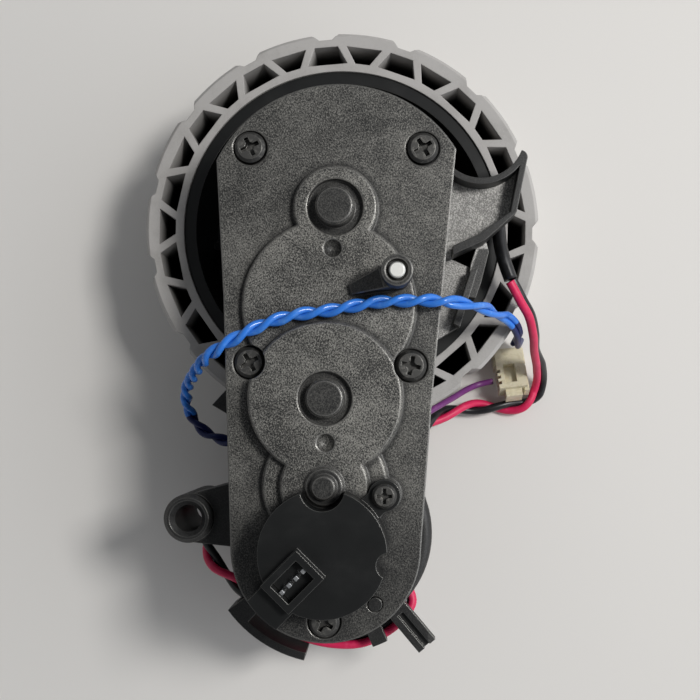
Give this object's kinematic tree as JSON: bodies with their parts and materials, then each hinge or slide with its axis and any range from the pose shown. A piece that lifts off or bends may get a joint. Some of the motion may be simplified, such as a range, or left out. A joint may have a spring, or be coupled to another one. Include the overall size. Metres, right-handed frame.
{
  "type": "robot vacuum wheel module",
  "caption": "Drive wheel module of a robot vacuum: a lugged tyre on a gearbox with a motor, encoder cap, pivot eye, spring post and leads.",
  "frame": {"origin": "on the wheel's axis, at the outer face of the hub cap, on which the module lies", "axes": "+Z along the wheel's axis from the wheel to the gearbox cover, +Y from the motor to the wheel, +X to the side of the wing"},
  "size_m": [0.0747, 0.1117, 0.0488],
  "materials": {
    "tyre_rubber": "matt light grey rubber",
    "black_plastic": "smooth black moulding",
    "case_plastic": "black moulding with a slight shine",
    "cover_plastic": "fibre-filled black moulding with pale specks",
    "gear_resin": "natural acetal",
    "ground_steel": "ground",
    "pin_steel": "bright turned end",
    "plated_steel": "zinc plated",
    "black_steel": "black oxide",
    "core_steel": "laminated",
    "magnet": "ferrite",
    "copper": "enamelled copper",
    "brass": "turned",
    "circuit_board": "solder mask",
    "black_sleeve": "shrink sleeve",
    "red_insulation": "smooth wire insulation",
    "blue_insulation": "smooth wire insulation",
    "purple_insulation": "smooth wire insulation",
    "cream_nylon": "translucent cream nylon"
  },
  "bodies": {
    "housing": {"bearing_outer_rings": "ground_steel", "bearing_balls": "ground_steel", "gear_1_pin": "ground_steel", "gear_2_pin": "ground_steel", "gear_3_pin": "ground_steel", "motor_can": "plated_steel", "motor_magnets": "magnet", "motor_end_bell": "black_plastic", "motor_bushes": "brass", "motor_terminals": "brass", "motor_screws": "black_steel", "motor_housing": "black_plastic", "housing_screws": "black_steel", "gearbox_case": "case_plastic", "gearbox_cover": "cover_plastic", "cover_screws": "black_steel", "end_screw": "black_steel", "spring_pin": "pin_steel", "encoder_cap": "black_plastic", "cap_screw": "black_steel", "encoder_board": "circuit_board", "hall_sensors": "black_plastic", "socket_header": "black_plastic", "socket_pins": "plated_steel", "wire_sleeve": "black_sleeve", "motor_lead": "red_insulation", "motor_lead_tail": "red_insulation", "blue_lead": "blue_insulation", "thin_lead": "purple_insulation", "plug_housing": "cream_nylon", "plug_contacts": "brass"},
    "wheel": {"tyre": "tyre_rubber", "wheel_hub": "black_plastic", "hub_cap": "black_plastic", "hub_screw": "plated_steel", "output_shaft": "ground_steel", "output_gear": "gear_resin", "bearing_inner_rings": "ground_steel"},
    "third_gear": {"gear_3": "gear_resin"},
    "second_gear": {"gear_2": "gear_resin"},
    "first_gear": {"gear_1": "gear_resin"},
    "rotor": {"motor_pinion": "brass", "motor_shaft": "ground_steel", "rotor_core": "core_steel", "rotor_windings": "copper", "commutator": "copper", "encoder_magnet": "magnet"}
  },
  "joints": [
    {"name": "wheel_spin", "type": "hinge", "parent": "housing", "child": "wheel", "pos_m": [0, 0, 0.023], "axis": [0, 0, 1], "continuous": true},
    {"name": "gear_3_spin", "type": "hinge", "parent": "housing", "child": "third_gear", "pos_m": [-0.001, -0.01557, 0.033], "axis": [0, 0, 1], "continuous": true},
    {"name": "gear_2_spin", "type": "hinge", "parent": "housing", "child": "second_gear", "pos_m": [-0.0015, -0.03026, 0.037], "axis": [0, 0, 1], "continuous": true},
    {"name": "gear_1_spin", "type": "hinge", "parent": "housing", "child": "first_gear", "pos_m": [-0.0016, -0.04406, 0.036], "axis": [0, 0, 1], "continuous": true},
    {"name": "motor_spin", "type": "hinge", "parent": "housing", "child": "rotor", "pos_m": [-0.0016, -0.05406, 0.02], "axis": [0, 0, 1], "continuous": true}
  ],
  "couplings": [
    {"joint": "gear_3_spin", "follows": "wheel_spin", "ratio": -2.25},
    {"joint": "gear_2_spin", "follows": "wheel_spin", "ratio": 6.9375},
    {"joint": "gear_1_spin", "follows": "wheel_spin", "ratio": -15.857},
    {"joint": "motor_spin", "follows": "wheel_spin", "ratio": 47.571}
  ]
}
